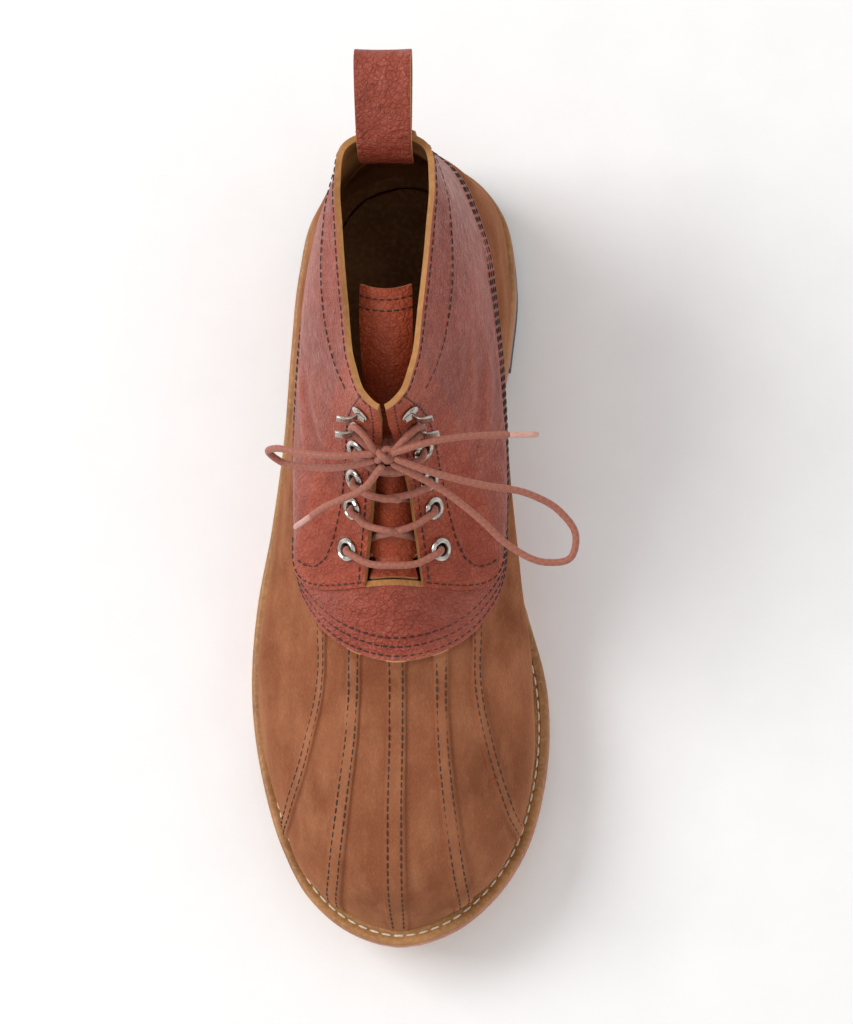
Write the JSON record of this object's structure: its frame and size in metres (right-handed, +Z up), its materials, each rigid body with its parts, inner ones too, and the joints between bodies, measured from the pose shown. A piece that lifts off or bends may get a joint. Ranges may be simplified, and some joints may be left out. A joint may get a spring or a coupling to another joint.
{
  "type": "duck boot",
  "caption": "Right ankle boot: suede vamp with raised lap seams, grain leather shaft, laced throat, welted leather sole, rubber half sole and heel.",
  "frame": {"origin": "on the floor under the middle of the heel", "axes": "-Y towards the toe, +X towards the inner (medial) side of this right boot, +Z up"},
  "size_m": [0.1268, 0.3067, 0.1695],
  "materials": {
    "sole_edge_leather": "burnished sole edge",
    "welt_leather": "natural welt",
    "tan_rubber": "moulded, matt",
    "stacked_leather": "sanded lifts",
    "black_rubber": "moulded, matt",
    "insole_leather": "unfinished",
    "grain_leather": "shrunken grain, waxed; the vamp is suede",
    "tongue_leather": "grain, waxed",
    "nickel": "plated",
    "waxed_lace": "round lace, matt",
    "lace_tip": "shrunk tip"
  },
  "bodies": {
    "root": {"outsole": "sole_edge_leather", "welt": "welt_leather", "half_sole": "tan_rubber", "heel_stack": "stacked_leather", "heel_rubber": "black_rubber", "heel_inlay": "sole_edge_leather", "insole": "insole_leather", "upper": "grain_leather", "tongue": "tongue_leather", "back_strap": "grain_leather", "pull_loop": "grain_leather", "eyelet_left_1": "nickel", "eyelet_left_2": "nickel", "eyelet_left_3": "nickel", "eyelet_left_4": "nickel", "eyelet_right_1": "nickel", "eyelet_right_2": "nickel", "eyelet_right_3": "nickel", "eyelet_right_4": "nickel", "hook_left_1": "nickel", "hook_left_2": "nickel", "hook_right_1": "nickel", "hook_right_2": "nickel", "lace_bar": "waxed_lace", "lace_cross_1": "waxed_lace", "lace_cross_2": "waxed_lace", "lace_knot": "waxed_lace", "lace_loop_left": "waxed_lace", "lace_loop_right": "waxed_lace", "lace_end_left": "waxed_lace", "lace_end_right": "waxed_lace", "lace_tip_left": "lace_tip", "lace_tip_right": "lace_tip"}
  },
  "joints": []
}
